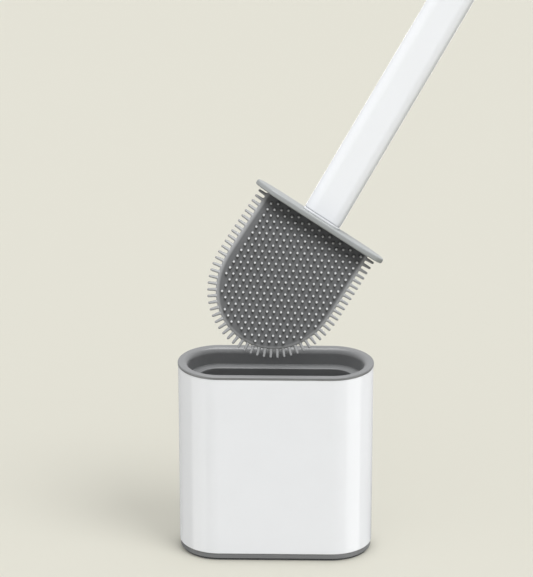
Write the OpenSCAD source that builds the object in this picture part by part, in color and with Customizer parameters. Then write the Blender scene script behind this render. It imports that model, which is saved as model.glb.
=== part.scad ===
// Toilet brush with a flexible studded head, standing over its two-part holder.
// Millimetres. +X is to the right, -Y is the front, +Z is up.
// The origin is the middle of the non-slip pad's underside, where the holder meets the floor.
// Plans of the holder are stadiums: a straight run with a half-round at each end.

/* [Holder] */
// Width of the outer shell at its top
holder_w = 125; // [120:0.5:132]
// Depth of the outer shell at its top
holder_d = 53.5; // [53:0.5:60]
// Height of the rim above the floor
holder_h = 128.8; // [124:0.2:140]
// Wall of the outer shell
shell_wall = 2.4; // [2:0.1:3]
// How much narrower the shell is at its foot, on each side
shell_draft = 0.5; // [0.2:0.1:0.8]
// Height of the grey base strip, with the pad under it
base_h = 4.8; // [4.4:0.1:6.5]

/* [Liner] */
// Width of the rim's flat ring, from the outside to the throat
rim_w = 6.4; // [5.6:0.1:6.6]
// Height of the rim's outer edge above the shell
rim_h = 1.9; // [1.4:0.1:3]
// Depth of the throat from the rim down to the ledge
throat_depth = 10.8; // [9:0.2:12]
// Width of the ledge that carries the splash guard
ledge_w = 6.3; // [5.5:0.1:6.5]
// Wall of the liner
liner_wall = 1.8; // [1.5:0.1:2.2]
// Height of the well's inner floor above the ground
well_floor = 14; // [12:1:18]

/* [Brush head] */
// Greatest width of the head without its edge bristles
head_w = 77.4; // [70:0.2:79]
// Width of the head where it meets the splash guard
head_neck_w = 75.8; // [70:0.2:77]
// Length of the head below the splash guard, without bristles
head_len = 88.8; // [80:0.2:90]
// Height of the widest place above the head's tip
head_belly = 46.2; // [44:0.2:52]
// Thickness of the flexible sheet between its two studded faces
head_t = 5.2; // [5:0.1:6]
// Length of the bristles on the two faces
face_bristle = 3.5; // [2.5:0.1:3.6]
// Length of the bristles round the edge
edge_bristle = 5.6; // [4:0.1:5.8]
// Diameter of a bristle
bristle_d = 1.7; // [1.4:0.1:2]
// Spacing of the bristles round the edge
edge_pitch = 3.85; // [3.6:0.05:5]
// Spacing of the columns of bristles across a face
column_pitch = 3.9; // [3.6:0.1:4.5]

/* [Splash guard] */
// Length of the guard
guard_w = 95; // [94:0.2:98]
// Depth of the guard
guard_d = 38; // [37:0.5:39]
// Thickness of the guard
guard_t = 3.4; // [3:0.1:4]

/* [Handle] */
// Width of the handle
handle_w = 26.2; // [24:0.2:28]
// Thickness of the handle, front to back
handle_t = 14; // [13:0.5:16]
// Length of the handle above the splash guard
handle_len = 250; // [200:5:280]
// Wall of the handle tube
handle_wall = 1.8; // [1.6:0.1:2.2]
// Cant of the handle to one side of the head's own axis, in degrees
handle_cant = 2.3; // [0:0.1:3]

/* [Pose of the brush at rest] */
// Place of the head's tip, across the holder
tip_x = -24.1; // [-26:0.1:-22]
// Place of the head's tip, front to back
tip_y = -4.1; // [-6:0.1:3]
// Height of the head's tip
tip_z = 139.8; // [138:0.1:144]
// Lean to the right, in degrees
lean_right = 32.5; // [31:0.1:34]
// Lean backwards, in degrees
lean_back = 22; // [20:0.5:24]
// Nod of the brush back towards the front, in degrees
nod = 3.6; // [0:0.1:5]
// Turn of the brush about its own length, in degrees
twist = 4.5; // [0:0.5:6]

/* [Hidden] */

$fn = 64;
eps = 0.01;                       // overlap that joins two shapes of one solid

run = holder_w - holder_d;        // straight run of every stadium of the holder
shell_r = holder_d / 2;           // outside of the shell at its top
rim_top = holder_h;
shell_top = holder_h - rim_h;
pad_t = 2.4;                      // non-slip pad
pad_inset = 2.2;                  // from the shell's outside to the pad's edge
pad_proud = 1.6;                  // how far the pad stands below the base
screw_y = 14.6;                   // screws that hold the base to the shell
screw_x = run / 2 + screw_y;
screw_r = 1.5;
screw_head_r = 2.9;
boss_r = 3.8;
boss_top = 22;

throat_r = shell_r - rim_w;
well_r = throat_r - ledge_w;
ledge_z = rim_top - throat_depth;
well_draft = 0.5;                 // how much the well narrows to its floor
rim_round = 0.7;                  // rounding of the rim's outer edge
throat_round = min(4, rim_w - shell_wall - 0.35);   // inner edge of the rim, clear of the shell

outline_power = 2.3;              // above 2, so the head's lower end is fuller than an ellipse
core_t = 2;                       // plastic core inside the head
stem_w = 15;                      // stem that joins the head to the handle
stem_t = 7;
core_stem_t = 3.8;                // the stem's thickness inside the head
stem_len = 24;                    // above the splash guard
socket_len = 30;
rib_w = 1;                        // thin ribs stand for the rows of bristles
cap_t = 6;
guard_gap = 0.15;                 // between the head and the splash guard
seal_t = 0.8;
lip_t = 1.3;                      // lip of the handle's foot
groove_t = 0.6;                   // shadow groove between the lip and the tube
foot_gap = 0.02;                  // between the splash guard and the handle

white = [0.93, 0.93, 0.93];
light_grey = [0.60, 0.61, 0.62];
mid_grey = [0.46, 0.47, 0.48];
dark_grey = [0.34, 0.35, 0.36];
steel = [0.75, 0.75, 0.77];

// ---- shared shapes ----

// Sweeps a profile (x = distance from the end's axis, y = height) round a stadium
module sweep_round(length) {
    for (side = [0, 180]) rotate([0, 0, side]) {
        translate([length / 2, 0, 0]) rotate([0, 0, -90]) rotate_extrude(angle = 180) children();
        translate([-length / 2, 0, 0]) rotate([90, 0, 90]) linear_extrude(length) children();
    }
}

module stadium_2d(width, depth) {
    square([width - depth, depth], center = true);
    for (side = [-1, 1]) translate([side * (width - depth) / 2, 0]) circle(d = depth);
}

module stadium(width, depth, height) {
    linear_extrude(height) stadium_2d(width, depth);
}

// A cylinder at each of the four screws
module at_screws() {
    for (sx = [-1, 1], sy = [-1, 1]) translate([sx * screw_x, sy * screw_y, 0]) children();
}

// ---- holder ----

module outer_shell() color(white) {
    foot_r = shell_r - shell_draft;
    edge = 0.8;                   // rounded lower edge
    sweep_round(run) polygon([
        [foot_r - shell_wall, base_h], [foot_r - edge, base_h], [foot_r - 0.2, base_h + 0.25],
        [foot_r, base_h + edge], [shell_r, shell_top - 0.3], [shell_r - 0.3, shell_top],
        [shell_r - shell_wall, shell_top]]);
    difference() {
        intersection() {
            at_screws() translate([0, 0, base_h + 2]) cylinder(r = boss_r, h = boss_top - base_h - 2);
            stadium(holder_w - 2 * shell_draft - 1, holder_d - 2 * shell_draft - 1, boss_top + 1);
        }
        at_screws() cylinder(r = screw_r, h = boss_top - 3);
    }
}

module base_plate() color(mid_grey) {
    foot_r = shell_r - shell_draft - 0.5;
    lip_r = shell_r - shell_draft - shell_wall - 0.2;
    difference() {
        union() {
            sweep_round(run) polygon([
                [0, pad_proud], [foot_r - 0.4, pad_proud], [foot_r, pad_proud + 0.4],
                [foot_r, base_h], [0, base_h]]);
            sweep_round(run) polygon([
                [lip_r - 1.8, base_h - eps], [lip_r, base_h - eps], [lip_r, base_h + 7],
                [lip_r - 0.6, base_h + 7.6], [lip_r - 1.8, base_h + 7.6]]);
        }
        // recess for the non-slip pad
        translate([0, 0, -1])
            stadium(holder_w - 2 * pad_inset + 0.4, holder_d - 2 * pad_inset + 0.4, pad_t + 1);
        // room for the screw bosses and the screws
        at_screws() {
            translate([0, 0, base_h]) cylinder(r = boss_r + 0.3, h = 10);
            cylinder(r = screw_r + 0.2, h = base_h + 1);
            translate([0, 0, -1]) cylinder(r = screw_head_r + 0.2, h = pad_t + 2.2);
        }
    }
}

module base_screws() color(steel) at_screws() {
    slot_w = 0.8;
    head_z = pad_t + 0.1;
    difference() {
        union() {
            translate([0, 0, head_z]) cylinder(r = screw_head_r, h = 1);
            translate([0, 0, head_z + 1 - eps]) cylinder(r = screw_r, h = 14);
        }
        for (turn = [0, 90]) rotate([0, 0, turn])
            translate([0, 0, head_z]) cube([3.6, slot_w, 1.2], center = true);
    }
}

module non_slip_pad() color(dark_grey) {
    stadium(holder_w - 2 * pad_inset, holder_d - 2 * pad_inset, pad_t);
}

module inner_liner() color(mid_grey) {
    rim_r = shell_r + 0.3;
    under = shell_top + 0.05;     // the rim sits on the shell's top edge
    well_out = well_r + liner_wall;
    neck_r = shell_r - shell_wall - 0.3;
    // rim, throat and ledge
    sweep_round(run) union() {
        difference() {
            polygon([
                [throat_r, ledge_z - liner_wall], [neck_r, ledge_z - liner_wall], [neck_r, under],
                [rim_r, under], [rim_r, rim_top - rim_round], [rim_r - rim_round, rim_top],
                [throat_r + throat_round, rim_top], [throat_r, rim_top - throat_round]]);
            polygon([
                [throat_r + liner_wall, ledge_z - liner_wall - 1],
                [neck_r + 1, ledge_z - liner_wall - 1],
                [neck_r + 1, under - 1.2], [throat_r + liner_wall, under - 2.4]]);
        }
        translate([rim_r - rim_round, rim_top - rim_round]) intersection() {
            circle(r = rim_round);
            square(rim_round);
        }
        translate([throat_r + throat_round, rim_top - throat_round]) intersection() {
            circle(r = throat_round);
            translate([-throat_round, 0]) square(throat_round);
        }
    }
    // ledge and well
    sweep_round(run) polygon([
        [well_r, ledge_z - 0.6], [well_r + 0.6, ledge_z], [throat_r + eps, ledge_z],
        [throat_r + liner_wall, ledge_z - liner_wall], [well_out, ledge_z - liner_wall],
        [well_out - well_draft, well_floor - liner_wall], [0, well_floor - liner_wall],
        [0, well_floor], [well_r - well_draft - 2, well_floor],
        [well_r - well_draft, well_floor + 2]]);
}

// ---- brush: in its own frame the tip of the bristles is at the origin, the handle is along +Z ----

head_top = head_len + edge_bristle;
belly = head_belly + edge_bristle;
guard_top = head_top + guard_gap + guard_t;

// Half-width of the head's outline at height z above the tip of the sheet
function head_half(z) = z < head_belly
    ? head_w / 2 * sqrt(1 - pow((head_belly - z) / head_belly, outline_power))
    : head_w / 2 - (head_w - head_neck_w) / 2 * pow((z - head_belly) / (head_len - head_belly), 2);

// Height up the outline for a step s from 0 to 1, closer together near the round tip
function outline_z(s) = s < 0.5
    ? head_belly * (1 - cos(180 * s))
    : head_belly + (head_len - head_belly) * (2 * s - 1);
outline_steps = 24;
right_side = [for (i = [0 : outline_steps]) let (z = outline_z(i / outline_steps))
    [head_half(z), z + edge_bristle]];
left_side = [for (i = [outline_steps : -1 : 1]) [-right_side[i][0], right_side[i][1]]];

// Height of the outline's lower curve at a distance x from the middle line, lifted clear of the edge
function side_height(x) = head_top - head_len + head_belly
    - head_belly * pow(max(0, 1 - pow(min(x, head_w / 2) / (head_w / 2), 2)), 1 / outline_power);

// Length along the right side up to point i
function along(i) = i == 0 ? 0 : along(i - 1) + norm(right_side[i] - right_side[i - 1]);
side_len = along(outline_steps);
// Point and outward direction at distance t along the right side
function seg(t, i = 0) = i >= outline_steps - 1 || along(i + 1) >= t ? i : seg(t, i + 1);
function side_point(t) = let (i = seg(t), a = right_side[i], b = right_side[i + 1])
    a + (b - a) * (t - along(i)) / norm(b - a);
function side_out(t) = let (i = seg(t), d = right_side[i + 1] - right_side[i]) atan2(-d[0], d[1]);

module sheet_2d() {
    polygon(concat(right_side, left_side));
}

// Turns a flat drawing upright: its x stays across, its y becomes height
module upright(thickness) {
    rotate([90, 0, 0]) translate([0, 0, -thickness / 2]) linear_extrude(thickness) children();
}

// Stands the brush in its rest pose
module posed() {
    translate([tip_x, tip_y, tip_z]) rotate([-lean_back, 0, 0]) rotate([0, lean_right, 0])
        rotate([nod, 0, 0]) rotate([0, 0, twist]) children();
}

// Stands a piece of the handle on the splash guard
module on_guard() {
    posed() translate([0, 0, guard_top + foot_gap]) children();
}

// A block round the stem, to cut a passage for it
module stem_block(gap, height) {
    translate([-stem_w / 2 - gap, -stem_t / 2 - gap, -1])
        cube([stem_w + 2 * gap, stem_t + 2 * gap, height + 1]);
}

module core_2d(grow = 0) {
    translate([0, belly]) circle(d = head_w - 18 + 2 * grow);
    translate([-(head_w - 20) / 2 - grow, belly])
        square([head_w - 20 + 2 * grow, head_top - belly - 8 + grow]);
}

module head_core() color(light_grey) posed() {
    upright(core_t) core_2d();
    translate([-stem_w / 2, -core_stem_t / 2, head_top - 10]) cube([stem_w, core_stem_t, 10 + eps]);
    translate([-stem_w / 2, -stem_t / 2, head_top])
        cube([stem_w, stem_t, guard_top - head_top + stem_len]);
}

module brush_head() color(dark_grey) posed() difference() {
    edge_count = floor((side_len - 1) / edge_pitch);
    columns = floor((head_w / 2 - 4) / column_pitch);
    union() {
        upright(head_t) sheet_2d();
        // rows of bristles on the two faces, drawn as thin ribs
        for (c = [-columns : columns]) {
            x = c * column_pitch;
            low = side_height(abs(x) + 4);
            translate([x - rib_w / 2, -head_t / 2 - face_bristle, low])
                cube([rib_w, head_t + 2 * face_bristle, head_top - 3 - low]);
        }
        // bristles round the edge
        rotate([180, 0, 0]) translate([0, 0, -edge_bristle - 1])
            cylinder(d = bristle_d, h = edge_bristle + 1);
        for (k = [1 : edge_count], m = [0, 1]) mirror([m, 0, 0]) {
            p = side_point(k * edge_pitch);
            translate([p[0], 0, p[1]]) rotate([0, 90 - side_out(k * edge_pitch), 0])
                translate([0, 0, -1]) cylinder(d = bristle_d, h = edge_bristle + 1);
        }
    }
    // pocket for the core
    upright(core_t + 0.1) core_2d(0.05);
    translate([-stem_w / 2 - 0.05, -core_stem_t / 2 - 0.05, head_top - 11])
        cube([stem_w + 0.1, core_stem_t + 0.1, 12]);
}

module splash_guard() color(light_grey) posed() translate([0, 0, head_top + guard_gap]) difference() {
    edge = 0.8;
    sweep_round(guard_w - guard_d) polygon([
        [0, 0], [guard_d / 2 - edge, 0], [guard_d / 2, edge], [guard_d / 2, guard_t - edge],
        [guard_d / 2 - edge, guard_t], [0, guard_t]]);
    stem_block(0.1, guard_t + 1);
}

// ---- handle: it leans a little to one side of the head's axis ----

module canted() {
    rotate([0, -handle_cant, 0]) children();
}

module handle_seal() color(dark_grey) on_guard() difference() {
    translate([0, 0, 0.1]) stadium(stem_w + 6, stem_t + 3, seal_t - 0.2);
    stem_block(0.2, seal_t + 1);
}

module handle_foot() color(white) on_guard() difference() {
    union() {
        stadium(handle_w + 1, handle_t + 1, lip_t);
        stadium(handle_w - 1, handle_t - 1, lip_t + groove_t);
    }
    translate([0, 0, -1]) stadium(stem_w + 6.2, stem_t + 3.2, seal_t + 1);
    stem_block(0.2, lip_t + groove_t + 1);
}

module handle_socket() color(light_grey) on_guard() {
    foot_top = lip_t + groove_t;
    difference() {
        canted() stadium(handle_w - 6, handle_t - 2 * handle_wall - 0.6, socket_len);
        translate([-handle_w, -handle_t, -handle_w + foot_top + 0.05])
            cube([2 * handle_w, 2 * handle_t, handle_w]);
        stem_block(0.2, stem_len + 0.5);
    }
}

module handle_tube() color(white) on_guard() {
    foot_top = lip_t + groove_t;
    difference() {
        canted() stadium(handle_w, handle_t, handle_len - cap_t);
        canted() translate([0, 0, -1])
            stadium(handle_w - 2 * handle_wall, handle_t - 2 * handle_wall, handle_len);
        translate([-handle_w, -handle_t, -handle_w + foot_top])
            cube([2 * handle_w, 2 * handle_t, handle_w]);
    }
}

module handle_cap() color(white) on_guard() canted() translate([0, 0, handle_len - cap_t]) {
    plug = handle_wall + 0.1;
    round_r = 2;
    sweep_round(handle_w - handle_t) {
        polygon([[0, 0.02], [handle_t / 2, 0.02], [handle_t / 2, cap_t - round_r],
            [handle_t / 2 - round_r, cap_t], [0, cap_t]]);
        translate([handle_t / 2 - round_r, cap_t - round_r]) intersection() {
            circle(r = round_r);
            square(round_r);
        }
    }
    translate([0, 0, -8]) stadium(handle_w - 2 * plug, handle_t - 2 * plug, 8.1);
}

outer_shell();
base_plate();
base_screws();
non_slip_pad();
inner_liner();
brush_head();
head_core();
splash_guard();
handle_seal();
handle_foot();
handle_socket();
handle_tube();
handle_cap();
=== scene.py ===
"""The looks of the toilet brush and its holder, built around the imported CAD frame.

Lengths below are in millimetres unless a name or comment says otherwise. MM turns them into
Blender's metres. The holder's pieces are made in the frame's own axes. The brush's pieces are
made in the brush's axes, where z runs up the handle and the tip of the fringe is at the origin,
and are then stood in the rest pose of the CAD.
"""

import math

import bmesh
import bpy
import numpy as np
from mathutils import Matrix, Vector


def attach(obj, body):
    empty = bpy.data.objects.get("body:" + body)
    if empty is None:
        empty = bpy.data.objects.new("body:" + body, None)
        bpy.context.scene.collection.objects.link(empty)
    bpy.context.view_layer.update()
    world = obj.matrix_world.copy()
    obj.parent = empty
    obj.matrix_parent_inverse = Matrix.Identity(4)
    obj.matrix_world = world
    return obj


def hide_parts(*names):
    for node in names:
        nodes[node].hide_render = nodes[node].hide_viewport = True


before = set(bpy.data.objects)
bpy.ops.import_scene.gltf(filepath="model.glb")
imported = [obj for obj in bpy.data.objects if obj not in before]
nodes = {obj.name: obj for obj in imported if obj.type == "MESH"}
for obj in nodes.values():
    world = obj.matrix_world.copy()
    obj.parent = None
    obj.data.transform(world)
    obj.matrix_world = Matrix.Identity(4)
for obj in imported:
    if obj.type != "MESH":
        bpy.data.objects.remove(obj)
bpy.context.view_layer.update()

MM = 0.001

# ---- sizes that the CAD has too ----

HOLDER_W, HOLDER_D, HOLDER_H = 125.0, 53.5, 128.8
RUN = HOLDER_W - HOLDER_D        # straight length between the holder's two half-rounds
SHELL_R = HOLDER_D / 2
SHELL_WALL, SHELL_DRAFT = 2.4, 0.5
SHELL_FOOT_R = SHELL_R - SHELL_DRAFT
RIM_H, RIM_W, RIM_ROUND, THROAT_ROUND = 1.9, 6.4, 0.7, 3.65
SHELL_TOP = HOLDER_H - RIM_H
BASE_H, BASE_INSET, BASE_LIP_H, BASE_LIP_WALL = 4.8, 0.5, 7.6, 1.8
PAD_T, PAD_INSET, PAD_PROUD = 2.4, 2.2, 1.6
PAD_R = SHELL_R - PAD_INSET
LINER_WALL, THROAT_DEPTH, LEDGE_W, WELL_FLOOR, WELL_DRAFT = 1.8, 10.8, 6.3, 14.0, 0.5
NECK_GAP, RIM_PROUD, RIM_GAP = 0.3, 0.3, 0.05
THROAT_R = SHELL_R - RIM_W
WELL_R = THROAT_R - LEDGE_W
LEDGE_Z = HOLDER_H - THROAT_DEPTH
SCREW_X, SCREW_Y, SCREW_R, SCREW_HEAD_R, SCREW_HEAD_SUNK = RUN / 2 + 14.6, 14.6, 1.5, 2.9, 1.2
BOSS_R, BOSS_FOOT, BOSS_TOP, BOSS_ROOF, BOSS_GAP = 3.8, 2.0, 22.0, 3.0, 0.3
FIT = 0.2                        # gap round the screws, the pad, the stem and the base's lip

HEAD_W, HEAD_NECK_W, HEAD_LEN, HEAD_BELLY, HEAD_T = 77.4, 75.8, 88.8, 46.2, 5.2
OUTLINE_POWER = 2.3              # 2 would round the tip as an ellipse, more is squarer
FACE_STUD, EDGE_BRISTLE = 3.5, 5.6
HEAD_TOP = HEAD_LEN + EDGE_BRISTLE
GUARD_W, GUARD_D, GUARD_T, GUARD_GAP = 95.0, 38.0, 3.4, 0.15
GUARD_TOP = HEAD_TOP + GUARD_GAP + GUARD_T
STEM_W, STEM_T = 15.0, 7.0
SEAL_T, SEAL_ROOM_T, SEAL_ROOM_RUN = 0.8, 3.2, 3.0
HANDLE_W, HANDLE_T, HANDLE_LEN, HANDLE_WALL, HANDLE_CANT = 26.2, 14.0, 250.0, 1.8, 2.3
HANDLE_R, HANDLE_RUN = HANDLE_T / 2, HANDLE_W - HANDLE_T
FOOT_GAP, LIP_T, LIP_PROUD, GROOVE_T, GROOVE_SUNK = 0.02, 1.3, 0.5, 0.6, 0.5
FOOT_TOP = LIP_T + GROOVE_T
CAP_T, CAP_PLUG, CAP_PLUG_GAP, CAP_GAP = 6.0, 8.0, 0.1, 0.02
TIP = (-24.1, -4.1, 139.8)       # where the tip of the fringe is at rest
LEAN_RIGHT, LEAN_BACK, NOD, TWIST = 32.5, 22.0, 3.6, 4.5          # degrees

# ---- detail that only the visual model has ----

STUD_COLUMN, STUD_PITCH = 3.895, 4.41
STUD_SHIFT = -1.07               # how far the middle column is from the middle of the sheet
STUD_START = 2.9                 # from the top of the sheet to the first stud of an odd column
STUD_BORDER = 3.4                # from the edge of the sheet to the middle of the nearest stud
STUD_R, STUD_TIP_R, STUD_SUNK = 0.95, 0.72, 0.4
STUD_FOOT = ((1.35, 0.0), (1.12, 0.22), (1.0, 0.55))      # (share of the radius, height)
TIP_SWELL = 1.03                 # a stud's end against its round tip
BRISTLE_PITCH, BRISTLE_COUNT = 3.85, 28                   # count up each side, after the tip's
BRISTLE_R, BRISTLE_TIP_R, BRISTLE_SUNK = 1.05, 0.8, 1.2
OUTLINE_STEP, OUTLINE_SAMPLES, TANGENT_REACH = 0.8, 4000, 0.4
GROOVE_PITCH, GROOVE_DEPTH, GROOVE_HALF_MOUTH, GROOVE_HALF_ROOF = 4.0, 0.5, 0.7, 0.4
GROOVE_SIDE, GROOVE_END = 3.0, 2.5                        # from the pad's edge

BASE_SEAM, GUARD_SEAM, HANDLE_SEAM = 0.6, 0.5, 0.3        # radius where a cap closes a sweep
FINE_STEPS, MIDDLE_STEPS, HANDLE_STEPS, SEAL_STEPS = 72, 64, 48, 32     # round each half-round
CORNER_STEPS, LINER_CORNER_STEPS, SHEET_EDGE_STEPS = 6, 8, 10
STUD_SIDES, TIP_STEPS, SCREW_SIDES = 14, 5, 40
CREASE = 35.0                    # degrees
FACE_WEIGHT = 80                 # how strongly a big face sets the shading at its edge
WELD_M, SLIVER_M = 1e-7, 1e-8
PAST = 1.0                       # how far a cutting tool reaches past the surface it cuts

# ---- colours, camera and studio ----


def linear(r, g, b):
    """Linear colour from 0 to 255 sRGB levels."""
    def one(v):
        v /= 255
        return v / 12.92 if v <= 0.04045 else ((v + 0.055) / 1.055) ** 2.4
    return (one(r), one(g), one(b), 1.0)


FLOOR_COLOUR, FLOOR_DRIFT = linear(225, 223, 211), 0.995
# The paler border colour is a painted highlight along the sheet's rounded edge.
SHEET_COLOUR, BORDER_HIGHLIGHT_COLOUR = linear(62, 63, 64), linear(134, 135, 136)
# The paler stud colour is a painted highlight on the upper part of each stud, where its tip
# catches the light.
FRINGE_COLOUR, TIP_HIGHLIGHT_COLOUR = linear(112, 113, 114), linear(150, 151, 152)
FRINGE_FROM, FRINGE_FADE = 0.1, 0.8          # outside the outline
TIP_HIGHLIGHT_FROM, TIP_HIGHLIGHT_FADE = 0.3, 1.9              # above the sheet's face

DRIFT_MM, SPECKLE_MM, SMUDGE_MM = 23.0, 1.7, 9.0          # sizes of the uneven patches
DRIFT_SHARE = 0.7                # of the drift in the tint, against the speckle
TINT_RANGE, GLOSS_RANGE = (0.3, 0.7), (0.3, 0.75)         # noise that turns tint and gloss

CAMERA_TARGET = Vector((-5.95, 0.0, 179.0)) * MM
CAMERA_DISTANCE_M, CAMERA_CLIP_M = 3.0, 50.0
CAMERA_AZIMUTH, CAMERA_ELEVATION = 1.2, 22.0
CAMERA_LENS, CAMERA_SENSOR = 294.4, 36.0

FLOOR_HALF_M, FLOOR_DROP, FLOOR_DRIFT_MM = 12.0, 0.02, 400.0
WORLD_LEVEL = 0.8
RIGHT_PANEL, LEFT_PANEL, FLAG, PIT = 1.35, 1.0, -0.35, -0.8       # added to that level


def turn(axis, degrees):
    return Matrix.Rotation(math.radians(degrees), 4, axis)


def raised(height):
    return Matrix.Translation((0, 0, height * MM))


POSED = (Matrix.Translation(Vector(TIP) * MM) @ turn("X", -LEAN_BACK) @ turn("Y", LEAN_RIGHT)
         @ turn("X", NOD) @ turn("Z", TWIST))
ON_GUARD = POSED @ raised(GUARD_TOP + FOOT_GAP)
CANTED = ON_GUARD @ turn("Y", -HANDLE_CANT)

# ---- mesh tools ----


def soften(corners, steps=CORNER_STEPS):
    """A line of (radius, height) from corners of (radius, height, rounding), each one an arc."""
    line = []
    for i, (r, z, rounding) in enumerate(corners):
        here = Vector((r, z))
        if rounding <= 0:
            line.append(here)
            continue
        before = (Vector(corners[i - 1][:2]) - here).normalized()
        after = (Vector(corners[(i + 1) % len(corners)][:2]) - here).normalized()
        half = before.angle(after) / 2
        reach = rounding / math.tan(half)
        centre = here + (before + after).normalized() * (rounding / math.sin(half))
        start, end = here + before * reach - centre, here + after * reach - centre
        arc = start.angle_signed(end)
        for k in range(steps + 1):
            a = -arc * k / steps
            line.append(centre + Vector((start.x * math.cos(a) - start.y * math.sin(a),
                                         start.x * math.sin(a) + start.y * math.cos(a))))
    return [(p.x, p.y) for p in line]


def stadium_ring(r, run, arc_steps):
    """Points round a stadium, one half-round after the other. Each has a mirror image across y."""
    ring = []
    for side in (1, -1):
        for k in range(arc_steps + 1):
            a = math.radians(-90 + 180 * k / arc_steps)
            ring.append((side * (run / 2 + r * math.cos(a)), side * r * math.sin(a)))
    return ring


def ring_faces(low, high, size):
    """Faces between two rings of points, which start at the points numbered low and high."""
    faces = []
    for k in range(size):
        m = (k + 1) % size
        faces.append((low + k, low + m, high + m, high + k))
    return faces


def make_piece(name, verts, faces, place=None):
    """A mesh object from points in millimetres, smooth except along creases."""
    mesh = bpy.data.meshes.new(name)
    mesh.from_pydata([(x * MM, y * MM, z * MM) for x, y, z in verts], [], faces)
    obj = bpy.data.objects.new(name, mesh)
    bpy.context.scene.collection.objects.link(obj)
    tidy_mesh(mesh)
    if place is not None:
        obj.matrix_world = place
    return obj


def tidy_mesh(mesh):
    """Welds double points, turns every face outwards and marks the creases."""
    bm = bmesh.new()
    bm.from_mesh(mesh)
    bmesh.ops.remove_doubles(bm, verts=bm.verts, dist=WELD_M)
    bmesh.ops.dissolve_degenerate(bm, edges=bm.edges, dist=SLIVER_M)
    bmesh.ops.recalc_face_normals(bm, faces=bm.faces)
    bm.to_mesh(mesh)
    bm.free()
    mesh.shade_smooth()
    mesh.set_sharp_from_angle(angle=math.radians(CREASE))
    mesh.update()


def weigh_normals(obj):
    """Keeps broad flat faces flat beside their small roundings."""
    mod = obj.modifiers.new("flat_faces", "WEIGHTED_NORMAL")
    mod.keep_sharp = True
    mod.weight = FACE_WEIGHT
    apply_modifiers(obj)


def apply_modifiers(obj):
    bpy.context.view_layer.update()
    graph = bpy.context.evaluated_depsgraph_get()
    mesh = bpy.data.meshes.new_from_object(obj.evaluated_get(graph), preserve_all_data_layers=True,
                                           depsgraph=graph)
    obj.modifiers.clear()
    old = obj.data
    obj.data = mesh
    mesh.name = obj.name
    bpy.data.meshes.remove(old)


def sweep(name, profile, run, closed, arc_steps, place=None):
    """Sweeps a line of (radius, height) round a stadium. An open line is capped at both ends."""
    rings = [stadium_ring(r, run, arc_steps) for r, _ in profile]
    size = len(rings[0])
    verts = [(x, y, z) for ring, (_, z) in zip(rings, profile) for x, y in ring]
    faces = []
    for i in range(len(profile) if closed else len(profile) - 1):
        faces += ring_faces(i * size, (i + 1) % len(profile) * size, size)
    if not closed:
        for i in (0, len(profile) - 1):
            faces += stadium_cap(i * size, arc_steps)
    obj = make_piece(name, verts, faces, place)
    weigh_normals(obj)
    return obj


def stadium_cap(first, arc_steps):
    """Faces that fill one ring of a stadium, in strips between mirror-image points."""
    side = arc_steps + 1
    faces = []
    for start in (first, first + side):
        for k in range(arc_steps // 2):
            low, high = start + k, start + arc_steps - k
            if k == arc_steps // 2 - 1:
                faces.append((low, low + 1, high))
            else:
                faces.append((low, low + 1, high - 1, high))
    faces.append((first, first + arc_steps, first + side, first + side + arc_steps))
    return faces


def boolean(obj, tool, kind):
    """Joins a tool to obj or cuts it away, and deletes the tool."""
    mod = obj.modifiers.new(kind, "BOOLEAN")
    mod.operation = kind
    mod.solver = "MANIFOLD"
    mod.object = tool
    apply_modifiers(obj)
    bpy.data.objects.remove(tool)
    tidy_mesh(obj.data)


def lathe(profile, steps, base, along):
    """Points and faces of a solid turned about the line from base, in direction along."""
    along = Vector(along).normalized()
    side = along.orthogonal().normalized()
    other = along.cross(side)
    verts, faces = [], []
    for r, h in profile[:-1]:
        centre = Vector(base) + along * h
        for k in range(steps):
            a = 2 * math.pi * k / steps
            verts.append(tuple(centre + side * (r * math.cos(a)) + other * (r * math.sin(a))))
    verts.append(tuple(Vector(base) + along * profile[-1][1]))
    last = (len(profile) - 2) * steps
    for start in range(0, last, steps):
        faces += ring_faces(start, start + steps, steps)
    for k in range(steps):
        faces.append((last + k, last + (k + 1) % steps, last + steps))
    faces.append(tuple(range(steps))[::-1])
    return verts, faces


def prism(low, high):
    """Points and faces of a solid between two polygons with the same number of corners."""
    size = len(low)
    ends = [tuple(range(size))[::-1], tuple(range(size, 2 * size))]
    return low + high, ends + ring_faces(0, size, size)


def join_solids(name, solids, place=None):
    verts, faces = [], []
    for v, f in solids:
        start = len(verts)
        verts += v
        faces += [tuple(start + i for i in face) for face in f]
    return make_piece(name, verts, faces, place)


# ---- brush head ----


def head_half(z):
    """Half-width of the sheet at height z above its tip."""
    if z < HEAD_BELLY:
        fall = (HEAD_BELLY - z) / HEAD_BELLY
        return HEAD_W / 2 * math.sqrt(max(0.0, 1 - fall ** OUTLINE_POWER))
    rise = (z - HEAD_BELLY) / (HEAD_LEN - HEAD_BELLY)
    return HEAD_W / 2 - (HEAD_W - HEAD_NECK_W) / 2 * rise ** 2


def head_outline():
    """Right side of the sheet from its tip up, evenly spaced: x, z and distance along it."""
    fine = []
    for i in range(OUTLINE_SAMPLES + 1):
        s = i / OUTLINE_SAMPLES
        if s < 0.5:
            z = HEAD_BELLY * (1 - math.cos(math.pi * s))
        else:
            z = HEAD_BELLY + (HEAD_LEN - HEAD_BELLY) * (2 * s - 1)
        fine.append((head_half(z), z + EDGE_BRISTLE))
    fine = np.array(fine)
    along = np.concatenate([[0], np.cumsum(np.linalg.norm(np.diff(fine, axis=0), axis=1))])
    count = int(round(along[-1] / OUTLINE_STEP))
    t = np.linspace(0, along[-1], count + 1)
    return np.interp(t, along, fine[:, 0]), np.interp(t, along, fine[:, 1]), t


EDGE_X, EDGE_Z, EDGE_T = head_outline()


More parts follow.
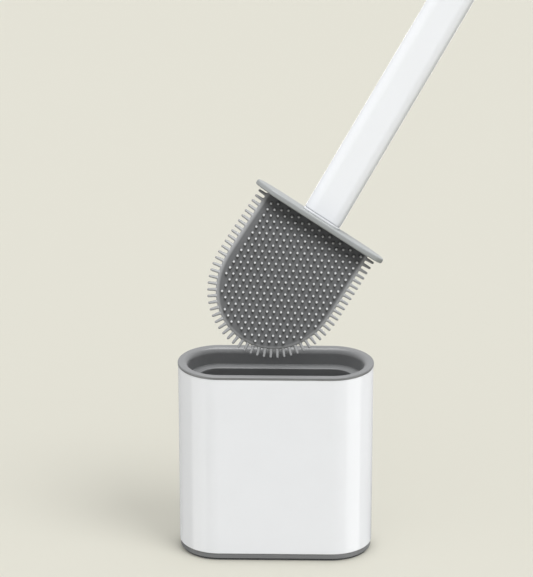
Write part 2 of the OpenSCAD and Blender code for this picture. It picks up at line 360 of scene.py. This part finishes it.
def outline_at(t):
    """Point and outward direction at distance t up the right side from the tip."""
    ahead, behind = min(t + TANGENT_REACH, EDGE_T[-1]), max(t - TANGENT_REACH, 0)
    dx = np.interp(ahead, EDGE_T, EDGE_X) - np.interp(behind, EDGE_T, EDGE_X)
    dz = np.interp(ahead, EDGE_T, EDGE_Z) - np.interp(behind, EDGE_T, EDGE_Z)
    if t < TANGENT_REACH:
        dx, dz = 1.0, 0.0
    size = math.hypot(dx, dz)
    return np.interp(t, EDGE_T, EDGE_X), np.interp(t, EDGE_T, EDGE_Z), dz / size, -dx / size


def edge_gap(x, z):
    """Distance from points beside the sheet's middle line to its outline."""
    return np.min(np.hypot(EDGE_X - x, EDGE_Z - z), axis=-1)


def head_sheet():
    """The flat sheet, with fully rounded edges."""
    rounding = HEAD_T / 2
    angles = [math.pi / 2 - math.pi * k / SHEET_EDGE_STEPS for k in range(SHEET_EDGE_STEPS + 1)]
    right = [outline_at(t) for t in EDGE_T]
    loop = [(-x, z, -nx, nz) for x, z, nx, nz in right[:0:-1]] + right
    verts = []
    for x, z, nx, nz in loop:
        for a in angles:
            inset = rounding * (1 - math.cos(a))
            verts.append((x - nx * inset, -rounding * math.sin(a), z - nz * inset))
    rows, last = len(angles), len(loop) - 1

    def point(i, k):
        return i * rows + k

    faces = []
    for i in range(last):
        for k in range(rows - 1):
            faces.append((point(i, k), point(i, k + 1), point(i + 1, k + 1), point(i + 1, k)))
    for k in (0, rows - 1):                      # the two flat faces, in strips from side to side
        for i in range(len(loop) // 2):
            j = last - i
            if j - i == 2:
                faces.append((point(i, k), point(i + 1, k), point(j, k)))
            elif j - i > 2:
                faces.append((point(i, k), point(i + 1, k), point(j - 1, k), point(j, k)))
    faces.append(tuple(point(0, k) for k in range(rows))
                 + tuple(point(last, k) for k in reversed(range(rows))))
    return verts, faces


def stud_profile(base_r, tip_r, length, sunk):
    """A tapered stud with a flared foot and a round tip. It starts sunk below the surface."""
    line = [(base_r * STUD_FOOT[0][0], -sunk)]
    line += [(base_r * share, height) for share, height in STUD_FOOT]
    line.append((tip_r * TIP_SWELL, length - tip_r))
    for k in range(1, TIP_STEPS):
        a = math.pi / 2 * k / TIP_STEPS
        line.append((tip_r * math.cos(a), length - tip_r + tip_r * math.sin(a)))
    line.append((0, length))
    return line


def head_studs():
    """Studs on both faces, in staggered columns that follow the sheet's outline."""
    solids = []
    profile = stud_profile(STUD_R, STUD_TIP_R, FACE_STUD, STUD_SUNK)
    half_columns = int(HEAD_W / 2 / STUD_COLUMN)
    for c in range(-half_columns, half_columns + 1):
        x = c * STUD_COLUMN + STUD_SHIFT
        z = HEAD_TOP - STUD_START - ((c + 1) % 2) * STUD_PITCH / 2
        while z > EDGE_BRISTLE:
            if abs(x) < head_half(z - EDGE_BRISTLE) and edge_gap(abs(x), z) > STUD_BORDER:
                for side in (-1, 1):
                    foot = (x, side * HEAD_T / 2, z)
                    solids.append(lathe(profile, STUD_SIDES, foot, (0, side, 0)))
            z -= STUD_PITCH
    return solids


def head_bristles():
    """The fringe round the edge, square to the outline."""
    profile = stud_profile(BRISTLE_R, BRISTLE_TIP_R, EDGE_BRISTLE, BRISTLE_SUNK)
    solids = []
    for k in range(BRISTLE_COUNT + 1):
        x, z, nx, nz = outline_at(k * BRISTLE_PITCH)
        for side in ((1, -1) if k else (1,)):
            solids.append(lathe(profile, STUD_SIDES, (side * x, 0, z), (side * nx, 0, nz)))
    return solids


def mark_zones(mesh):
    """Stores on each point how much it belongs to the fringe, a stud's tip and the border, where
    the tips and the border get painted highlights.
    """
    points = np.empty(len(mesh.vertices) * 3)
    mesh.vertices.foreach_get("co", points)
    points = points.reshape(-1, 3) / MM
    x, y, z = np.abs(points[:, 0]), np.abs(points[:, 1]), points[:, 2]
    gap = edge_gap(x[:, None], z[:, None])
    half = np.array([head_half(max(v - EDGE_BRISTLE, 0.0)) for v in z])
    outside = np.where((x < half) & (z > EDGE_BRISTLE), -gap, gap)
    zones = np.stack([np.clip((outside - FRINGE_FROM) / FRINGE_FADE, 0, 1),
                      np.clip((y - HEAD_T / 2 - TIP_HIGHLIGHT_FROM) / TIP_HIGHLIGHT_FADE, 0, 1),
                      np.clip(1 + outside / (HEAD_T / 2), 0, 1)], axis=1)
    layer = mesh.attributes.new("zones", "FLOAT_VECTOR", "POINT")
    layer.data.foreach_set("vector", zones.astype(np.float32).ravel())


def make_head():
    verts, faces = head_sheet()
    head = make_piece("head_skin", verts, faces, POSED)
    studs = join_solids("studs", head_studs() + head_bristles(), POSED)
    boolean(head, studs, "UNION")
    mark_zones(head.data)
    return head


# ---- materials ----


class Nodes:
    """A short way to write a material's or the world's nodes."""

    def __init__(self, tree):
        self.tree = tree

    def add(self, kind, out=0, **settings):
        """Adds a node and returns one output. in_X fills or links input X, the rest are set."""
        node = self.tree.nodes.new(kind)
        for key, value in settings.items():
            if not key.startswith("in_"):
                setattr(node, key, value)
                continue
            key = key[3:]
            socket = node.inputs[int(key) if key.isdigit() else key]
            if isinstance(value, bpy.types.NodeSocket):
                self.tree.links.new(value, socket)
            else:
                socket.default_value = value
        return node.outputs[out]

    def split(self, vector):
        node = self.tree.nodes.new("ShaderNodeSeparateXYZ")
        self.tree.links.new(vector, node.inputs[0])
        return node.outputs

    def math(self, operation, a, b):
        return self.add("ShaderNodeMath", operation=operation, in_0=a, in_1=b)

    def ramp(self, value, low, high, to_low=0.0, to_high=1.0):
        return self.add("ShaderNodeMapRange", interpolation_type="SMOOTHSTEP", in_0=value,
                        in_1=low, in_2=high, in_3=to_low, in_4=to_high)

    def noise(self, vector, size_mm, detail=2.0, rough=0.5):
        return self.add("ShaderNodeTexNoise", in_Vector=vector, in_Scale=1 / (size_mm * MM),
                        in_Detail=detail, in_Roughness=rough)

    def mix(self, amount, a, b):
        """A mix of colours, the third output of Blender's Mix node."""
        return self.add("ShaderNodeMix", 2, data_type="RGBA", in_0=amount, in_6=a, in_7=b)

    def bump(self, height, depth, **settings):
        return self.add("ShaderNodeBump", in_Strength=1.0, in_Distance=depth * MM,
                        in_Height=height, **settings)


def scaled(colour, factor):
    return tuple(min(1.0, c * factor) for c in colour[:3]) + (1,)


def new_material(name):
    """A material, its nodes, its shader and the coordinates fixed to the object."""
    material = bpy.data.materials.new(name)
    material.use_nodes = True
    material.node_tree.nodes.clear()
    n = Nodes(material.node_tree)
    shader = material.node_tree.nodes.new("ShaderNodeBsdfPrincipled")
    output = material.node_tree.nodes.new("ShaderNodeOutputMaterial")
    material.node_tree.links.new(shader.outputs[0], output.inputs[0])
    return material, n, shader, n.add("ShaderNodeTexCoord", 3)


def moulded(name, colour, rough, tone=0.03, rough_spread=0.06, grain_mm=0.6, grain_depth=0.004,
            wave_mm=14.0, wave_depth=0.0):
    """Moulded plastic or rubber: slight drift of colour and gloss, fine grain, soft sink waves."""
    material, n, shader, where = new_material(name)
    drift = n.noise(where, DRIFT_MM, detail=3.0)
    speckle = n.noise(where, SPECKLE_MM, detail=4.0, rough=0.6)
    blend = n.math("ADD", n.math("MULTIPLY", drift, DRIFT_SHARE),
                   n.math("MULTIPLY", speckle, 1 - DRIFT_SHARE))
    tint = n.mix(n.ramp(blend, *TINT_RANGE), scaled(colour, 1 - tone), scaled(colour, 1 + tone))
    n.tree.links.new(tint, shader.inputs["Base Color"])
    smudge = n.noise(where, SMUDGE_MM, detail=5.0, rough=0.65)
    gloss = n.ramp(smudge, *GLOSS_RANGE, rough - rough_spread / 2, rough + rough_spread / 2)
    n.tree.links.new(gloss, shader.inputs["Roughness"])
    relief = n.bump(n.noise(where, grain_mm), grain_depth)
    if wave_depth:
        relief = n.bump(n.noise(where, wave_mm, detail=1.0), wave_depth, in_Normal=relief)
    n.tree.links.new(relief, shader.inputs["Normal"])
    return material, n, shader


def steel():
    material, _, shader = moulded("brushed_steel", linear(190, 190, 194), 0.3, grain_mm=0.2)
    shader.inputs["Metallic"].default_value = 1.0
    return material


def head_rubber():
    """Grey flexible rubber with a paler fringe; its stud tips and its rounded border are paler as
    painted highlights.
    """
    material, n, shader = moulded("head_rubber", SHEET_COLOUR, 0.5, tone=0.05,
                                  grain_mm=0.3, grain_depth=0.006)
    fringe, tip, border = n.split(n.add("ShaderNodeAttribute", 1, attribute_name="zones"))
    colour = shader.inputs["Base Color"].links[0].from_socket
    # Over the sheet's colour go a painted highlight on the border, a painted highlight on the stud
    # tips, and the fringe's paler colour.
    for zone, tint in ((border, BORDER_HIGHLIGHT_COLOUR), (tip, TIP_HIGHLIGHT_COLOUR), (fringe, FRINGE_COLOUR)):
        colour = n.mix(zone, colour, tint)
    n.tree.links.new(colour, shader.inputs["Base Color"])
    return material


SHELL_WHITE = moulded("gloss_white", linear(234, 236, 241), 0.11, tone=0.006, rough_spread=0.05,
                      grain_mm=2.2, grain_depth=0.0015, wave_mm=40.0, wave_depth=0.02)[0]
HANDLE_WHITE = moulded("gloss_white_handle", linear(214, 216, 219), 0.2, tone=0.006,
                       rough_spread=0.05, grain_mm=1.8, grain_depth=0.0015)[0]
LINER_GREY = moulded("satin_grey", linear(120, 121, 122), 0.36, grain_mm=0.35,
                     grain_depth=0.006)[0]
BASE_GREY = moulded("base_grey", linear(110, 111, 112), 0.45, grain_mm=0.35,
                    grain_depth=0.006)[0]
GUARD_GREY = moulded("guard_grey", linear(144, 147, 147), 0.42, grain_mm=0.35,
                     grain_depth=0.005)[0]
CORE_GREY = moulded("core_grey", linear(150, 151, 153), 0.4)[0]
SEAL_RUBBER = moulded("seal_rubber", linear(60, 61, 62), 0.6)[0]
PAD_RUBBER = moulded("pad_rubber", linear(40, 41, 42), 0.65, grain_mm=0.5, grain_depth=0.01)[0]

# ---- camera, floor and light (before the pieces, so that each can be linked to its light) ----

scene = bpy.context.scene
scene.view_settings.view_transform = "Standard"
scene.view_settings.look = "None"


def sky_direction(azimuth, elevation):
    """Direction of a place in the studio: azimuth is degrees to the right of the front."""
    a, e = math.radians(azimuth), math.radians(elevation)
    return Vector((math.sin(a) * math.cos(e), -math.cos(a) * math.cos(e), math.sin(e)))


def brush_direction(right, front, up):
    """Direction seen from the tilted brush, whose face looks to its front."""
    return POSED.to_3x3() @ Vector((right, -front, up))


def aim(obj, place, target):
    obj.location = place
    obj.rotation_mode = "QUATERNION"
    obj.rotation_quaternion = (target - place).to_track_quat("-Z", "Y")


def add_camera():
    camera = bpy.data.objects.new("camera", bpy.data.cameras.new("camera"))
    scene.collection.objects.link(camera)
    camera.data.sensor_width = CAMERA_SENSOR
    camera.data.lens = CAMERA_LENS
    camera.data.clip_end = CAMERA_CLIP_M
    away = sky_direction(CAMERA_AZIMUTH, CAMERA_ELEVATION) * CAMERA_DISTANCE_M
    aim(camera, CAMERA_TARGET + away, CAMERA_TARGET)
    scene.camera = camera


def add_floor():
    """A plain matt floor just under the pad, which doesn't show in glossy surfaces."""
    mesh = bpy.data.meshes.new("floor")
    corners = [(x * FLOOR_HALF_M, y * FLOOR_HALF_M, 0)
               for x, y in ((-1, -1), (1, -1), (1, 1), (-1, 1))]
    mesh.from_pydata(corners, [], [(0, 1, 2, 3)])
    floor = bpy.data.objects.new("floor", mesh)
    scene.collection.objects.link(floor)
    floor.location.z = -FLOOR_DROP * MM
    material, n, shader, where = new_material("floor")
    shader.inputs["Roughness"].default_value = 0.9
    shader.inputs["Specular IOR Level"].default_value = 0.1
    tint = n.mix(n.noise(where, FLOOR_DRIFT_MM), FLOOR_COLOUR, scaled(FLOOR_COLOUR, FLOOR_DRIFT))
    n.tree.links.new(tint, shader.inputs["Base Color"])
    mesh.materials.append(material)
    floor.visible_glossy = False
    return floor


def add_world():
    """A soft pale studio with a bright panel on each side, dimmer at the left and back.

    It is dark low down at the right and back, where only glossy surfaces see it.
    """
    world = bpy.data.worlds.new("studio")
    scene.world = world
    world.use_nodes = True
    world.node_tree.nodes.clear()
    n = Nodes(world.node_tree)
    x, y, z = n.split(n.add("ShaderNodeTexCoord", 0))
    azimuth = n.math("ARCTAN2", x, n.math("MULTIPLY", y, -1.0))       # radians right of the front

    def patch(start, end, soft, low, high):
        """1 between two azimuths in degrees and below z = low, fading to 0 at z = high."""
        rise = n.ramp(azimuth, math.radians(start - soft), math.radians(start + soft))
        fall = n.ramp(azimuth, math.radians(end - soft), math.radians(end + soft), 1.0, 0.0)
        return n.math("MULTIPLY", n.math("MULTIPLY", rise, fall), n.ramp(z, low, high, 1.0, 0.0))

    level = WORLD_LEVEL
    for change, area in ((RIGHT_PANEL, patch(44, 90, soft=1.5, low=0.05, high=0.3)),
                         (LEFT_PANEL, patch(-84, -38, soft=1.5, low=0.05, high=0.3)),
                         (FLAG, patch(-178, -84, soft=2, low=0.0, high=0.4)),
                         (PIT, patch(88, 179, soft=3, low=-0.46, high=-0.36))):
        level = n.math("ADD", level, n.math("MULTIPLY", area, change))
    background = n.add("ShaderNodeBackground", in_Color=(1.0, 1.0, 1.0, 1.0), in_Strength=level)
    output = world.node_tree.nodes.new("ShaderNodeOutputWorld")
    world.node_tree.links.new(background, output.inputs[0])


def add_sun(name, towards, softness, strength, receivers, blockers=None):
    """An even light from one side, as wide as softness in degrees, which reaches only its set."""
    light = bpy.data.lights.new(name, "SUN")
    light.angle = math.radians(softness)
    light.energy = strength
    obj = bpy.data.objects.new(name, light)
    scene.collection.objects.link(obj)
    aim(obj, towards.normalized() * CAMERA_DISTANCE_M, Vector((0, 0, 0)))
    obj.light_linking.receiver_collection = receivers
    if blockers is not None:
        obj.light_linking.blocker_collection = blockers


add_camera()
floor = add_floor()
add_world()
holder_set, liner_set, head_set, guard_set, handle_set = (
    bpy.data.collections.new("lit_as_" + name)
    for name in ("holder", "liner", "head", "guard", "handle"))
# Only these shade the holder and the floor, because the photo has no shadow of the brush there.
holder_shades = bpy.data.collections.new("shades_the_holder")
holder_set.objects.link(floor)
add_sun("holder_key", sky_direction(azimuth=50, elevation=47), softness=35, strength=1.0,
        receivers=holder_set, blockers=holder_shades)
add_sun("liner_key", sky_direction(azimuth=178, elevation=84), softness=36, strength=2.8,
        receivers=liner_set, blockers=holder_shades)
add_sun("head_key", brush_direction(right=-0.35, front=1.0, up=0.75), softness=28, strength=5.6,
        receivers=head_set)
add_sun("head_back", brush_direction(right=0.2, front=-1.0, up=0.5), softness=40, strength=1.8,
        receivers=head_set)
add_sun("guard_key", brush_direction(right=-0.35, front=0.3, up=1.0), softness=30, strength=3.2,
        receivers=guard_set)
add_sun("handle_key", brush_direction(right=-0.28, front=0.32, up=1.0), softness=22, strength=4.9,
        receivers=handle_set)
add_sun("handle_back", brush_direction(right=0.0, front=-1.0, up=0.1), softness=40, strength=1.1,
        receivers=handle_set)


def use(obj, material):
    obj.data.materials.clear()
    obj.data.materials.append(material)


def place_piece(obj, material, body, light_set, replaced):
    """Gives a piece its material, body and light, and hides the CAD node that it stands for."""
    obj.data.transform(obj.matrix_world)
    obj.matrix_world = Matrix.Identity(4)
    use(obj, material)
    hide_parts(replaced)
    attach(obj, body)
    light_set.objects.link(obj)


# ---- holder (every list given to soften holds corners of radius, height and rounding) ----


def at_screws(radius, low, high):
    """A plain round bar along z at each of the four screws, for a boss or for cutting a hole."""
    line = [(radius, 0), (radius, high - low), (0, high - low)]
    bars = [lathe(line, SCREW_SIDES, (sx * SCREW_X, sy * SCREW_Y, low), (0, 0, 1))
            for sx in (-1, 1) for sy in (-1, 1)]
    return join_solids("bars", bars)


def make_shell():
    shell = sweep("shell", soften([
        (SHELL_FOOT_R - SHELL_WALL, BASE_H, 0), (SHELL_FOOT_R, BASE_H, 0.8),
        (SHELL_R, SHELL_TOP, 0.4), (SHELL_R - SHELL_WALL, SHELL_TOP, 0),
    ]), RUN, closed=True, arc_steps=FINE_STEPS)
    boolean(shell, at_screws(BOSS_R, BASE_H + BOSS_FOOT, BOSS_TOP), "UNION")
    boolean(shell, at_screws(SCREW_R, BASE_H, BOSS_TOP - BOSS_ROOF), "DIFFERENCE")
    weigh_normals(shell)
    return shell


def make_base():
    """The base: a foot with a recess for the pad, and a lip that stands inside the shell."""
    base_r = SHELL_FOOT_R - BASE_INSET
    lip_r = SHELL_FOOT_R - SHELL_WALL - FIT
    lip_in = lip_r - BASE_LIP_WALL
    lip_top = BASE_H + BASE_LIP_H
    recess_r = PAD_R + FIT
    base = sweep("base", soften([
        (BASE_SEAM, PAD_T, 0), (recess_r, PAD_T, 0), (recess_r, PAD_PROUD, 0),
        (base_r, PAD_PROUD, 0.3), (base_r, BASE_H, 0), (lip_r, BASE_H, 0), (lip_r, lip_top, 0.6),
        (lip_in, lip_top, 0), (lip_in, BASE_H, 0), (BASE_SEAM, BASE_H, 0),
    ]), RUN, closed=False, arc_steps=FINE_STEPS)
    boolean(base, at_screws(BOSS_R + BOSS_GAP, BASE_H, lip_top + PAST), "DIFFERENCE")
    boolean(base, at_screws(SCREW_R + FIT, 0, BASE_H + PAST), "DIFFERENCE")
    boolean(base, at_screws(SCREW_HEAD_R + FIT, -PAST, PAD_T + SCREW_HEAD_SUNK), "DIFFERENCE")
    weigh_normals(base)
    return base


def make_pad():
    """The non-slip pad, with long shallow grooves for grip."""
    pad = sweep("pad", soften([
        (BASE_SEAM, 0, 0), (PAD_R, 0, 0.3), (PAD_R, PAD_T, 0.3), (BASE_SEAM, PAD_T, 0),
    ]), RUN, closed=False, arc_steps=MIDDLE_STEPS)
    grooves = []
    count = int((PAD_R - GROOVE_SIDE) / GROOVE_PITCH)
    for k in range(-count, count + 1):
        y = k * GROOVE_PITCH
        reach = RUN / 2 + math.sqrt((PAD_R - GROOVE_END) ** 2 - y * y)
        section = [(y - GROOVE_HALF_MOUTH, -PAST), (y + GROOVE_HALF_MOUTH, -PAST),
                   (y + GROOVE_HALF_ROOF, GROOVE_DEPTH), (y - GROOVE_HALF_ROOF, GROOVE_DEPTH)]
        grooves.append(prism(*([(side * reach, *point) for point in section] for side in (-1, 1))))
    boolean(pad, join_solids("grooves", grooves), "DIFFERENCE")
    weigh_normals(pad)
    return pad


def make_liner():
    """The liner, from the middle of its underside out, up, over the rim and down into its well."""
    neck_r = SHELL_R - SHELL_WALL - NECK_GAP
    rim_r = SHELL_R + RIM_PROUD
    rim_low = SHELL_TOP + RIM_GAP
    well_out = WELL_R + LINER_WALL
    well_low, ledge_low = WELL_FLOOR - LINER_WALL, LEDGE_Z - LINER_WALL
    return sweep("liner", soften([
        (BASE_SEAM, well_low, 0), (well_out - WELL_DRAFT, well_low, 1.5),
        (well_out, ledge_low, 0.5), (neck_r, ledge_low, 0.4), (neck_r, rim_low, 0),
        (rim_r, rim_low, 0.35), (rim_r, HOLDER_H, RIM_ROUND), (THROAT_R, HOLDER_H, THROAT_ROUND),
        (THROAT_R, LEDGE_Z, 0.5), (WELL_R, LEDGE_Z, 0.7), (WELL_R - WELL_DRAFT, WELL_FLOOR, 2.0),
        (BASE_SEAM, WELL_FLOOR, 0),
    ], steps=LINER_CORNER_STEPS), RUN, closed=False, arc_steps=FINE_STEPS)


place_piece(make_shell(), SHELL_WHITE, "holder", holder_set, "outer_shell")
place_piece(make_base(), BASE_GREY, "holder", holder_set, "base_plate")
place_piece(make_pad(), PAD_RUBBER, "holder", holder_set, "non_slip_pad")
place_piece(make_liner(), LINER_GREY, "liner", liner_set, "inner_liner")
for name in ("shell", "base", "pad", "liner"):
    holder_shades.objects.link(bpy.data.objects[name])

# ---- splash guard and handle ----


def make_guard():
    return sweep("guard", soften([
        (GUARD_SEAM, 0, 0), (GUARD_D / 2, 0, 0.9), (GUARD_D / 2, GUARD_T, 1.1),
        (GUARD_SEAM, GUARD_T, 0),
    ]), GUARD_W - GUARD_D, closed=False, arc_steps=MIDDLE_STEPS,
        place=POSED @ raised(HEAD_TOP + GUARD_GAP))


def make_tube():
    """The handle's hollow tube. Its foot is cut level with the guard, across the tube's cant."""
    inner_r = HANDLE_R - HANDLE_WALL
    top = HANDLE_LEN - CAP_T
    tube = sweep("tube", soften([
        (inner_r, FOOT_TOP, 0.2), (HANDLE_R, FOOT_TOP, 0.35), (HANDLE_R, top, 0.2),
        (inner_r, top, 0.2),
    ]), HANDLE_RUN, closed=True, arc_steps=HANDLE_STEPS, place=CANTED)
    slant = math.tan(math.radians(HANDLE_CANT))
    for vertex in tube.data.vertices:
        if vertex.co.z < HANDLE_LEN / 2 * MM:
            vertex.co.z -= vertex.co.x * slant
    weigh_normals(tube)
    return tube


def make_cap():
    """The handle's end cap, with a plug that goes down into the tube."""
    plug_r = HANDLE_R - HANDLE_WALL - CAP_PLUG_GAP
    return sweep("cap", soften([
        (HANDLE_SEAM, -CAP_PLUG, 0), (plug_r, -CAP_PLUG, 0.4), (plug_r, CAP_GAP, 0),
        (HANDLE_R, CAP_GAP, 0.2), (HANDLE_R, CAP_T, 2.0), (HANDLE_SEAM, CAP_T, 0),
    ]), HANDLE_RUN, closed=False, arc_steps=HANDLE_STEPS,
        place=CANTED @ raised(HANDLE_LEN - CAP_T))


def make_foot():
    """The lip at the handle's foot and the groove above it, with room for the seal and stem."""
    lip_r, neck_r = HANDLE_R + LIP_PROUD, HANDLE_R - GROOVE_SUNK
    foot = sweep("foot", soften([
        (HANDLE_SEAM, 0, 0), (lip_r, 0, 0.3), (lip_r, LIP_T, 0.4), (neck_r, LIP_T, 0),
        (neck_r, FOOT_TOP, 0), (HANDLE_SEAM, FOOT_TOP, 0),
    ]), HANDLE_RUN, closed=False, arc_steps=HANDLE_STEPS, place=ON_GUARD)
    seal_r = (STEM_T + SEAL_ROOM_T) / 2
    seal_room = sweep("seal_room", [
        (HANDLE_SEAM, -PAST), (seal_r, -PAST), (seal_r, SEAL_T), (HANDLE_SEAM, SEAL_T),
    ], STEM_W - STEM_T + SEAL_ROOM_RUN, closed=False, arc_steps=SEAL_STEPS, place=ON_GUARD)
    boolean(foot, seal_room, "DIFFERENCE")
    half_w, half_t = STEM_W / 2 + FIT, STEM_T / 2 + FIT
    section = ((-half_w, -half_t), (half_w, -half_t), (half_w, half_t), (-half_w, half_t))
    ends = (-2 * PAST, FOOT_TOP + PAST)          # below the seal's room, which starts at -PAST
    verts, faces = prism(*([(*point, z) for point in section] for z in ends))
    boolean(foot, make_piece("stem_room", verts, faces, ON_GUARD), "DIFFERENCE")
    weigh_normals(foot)
    return foot


place_piece(make_head(), head_rubber(), "brush", head_set, "brush_head")
place_piece(make_guard(), GUARD_GREY, "brush", guard_set, "splash_guard")
place_piece(make_tube(), HANDLE_WHITE, "handle", handle_set, "handle_tube")
place_piece(make_cap(), HANDLE_WHITE, "handle", handle_set, "handle_cap")
place_piece(make_foot(), HANDLE_WHITE, "handle", guard_set, "handle_foot")

# ---- CAD nodes that stay, with better materials ----

for name, material, slot, light_set in (
        ("base_screws", steel(), "screw_steel", holder_set),
        ("head_core", CORE_GREY, "core_grey", head_set),
        ("handle_seal", SEAL_RUBBER, "seal_rubber", handle_set),
        ("handle_socket", CORE_GREY, "core_grey", handle_set)):
    use(nodes[name], material)
    light_set.objects.link(nodes[name])
